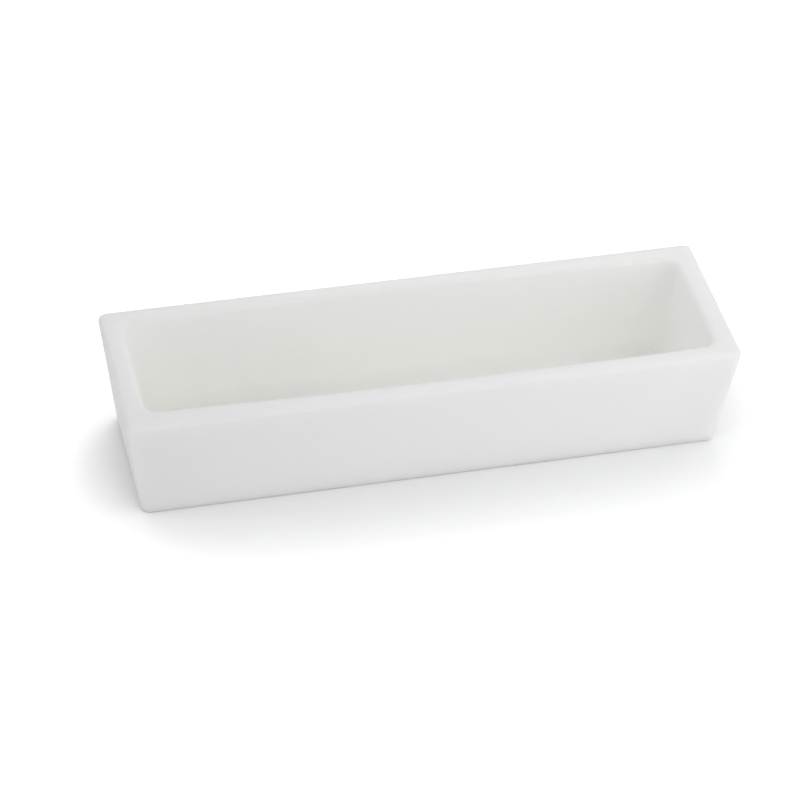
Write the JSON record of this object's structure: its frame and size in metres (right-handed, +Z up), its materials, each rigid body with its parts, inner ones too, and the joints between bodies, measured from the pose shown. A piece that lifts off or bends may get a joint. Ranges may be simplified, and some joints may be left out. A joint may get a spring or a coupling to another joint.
{
  "type": "crucible boat",
  "caption": "Long rectangular crucible boat of fired alumina: an open tray with leaning walls, a soft rim and a flat base.",
  "frame": {"origin": "centre of the flat base, on the surface that the boat stands on", "axes": "+X along the boat's length, +Y across it to the back wall, +Z up out of the cavity"},
  "size_m": [0.1, 0.03, 0.02],
  "materials": {
    "alumina": "matt unglazed white, as fired, with a fine dry grain"
  },
  "bodies": {
    "root": {"crucible_boat": "alumina"}
  },
  "joints": []
}
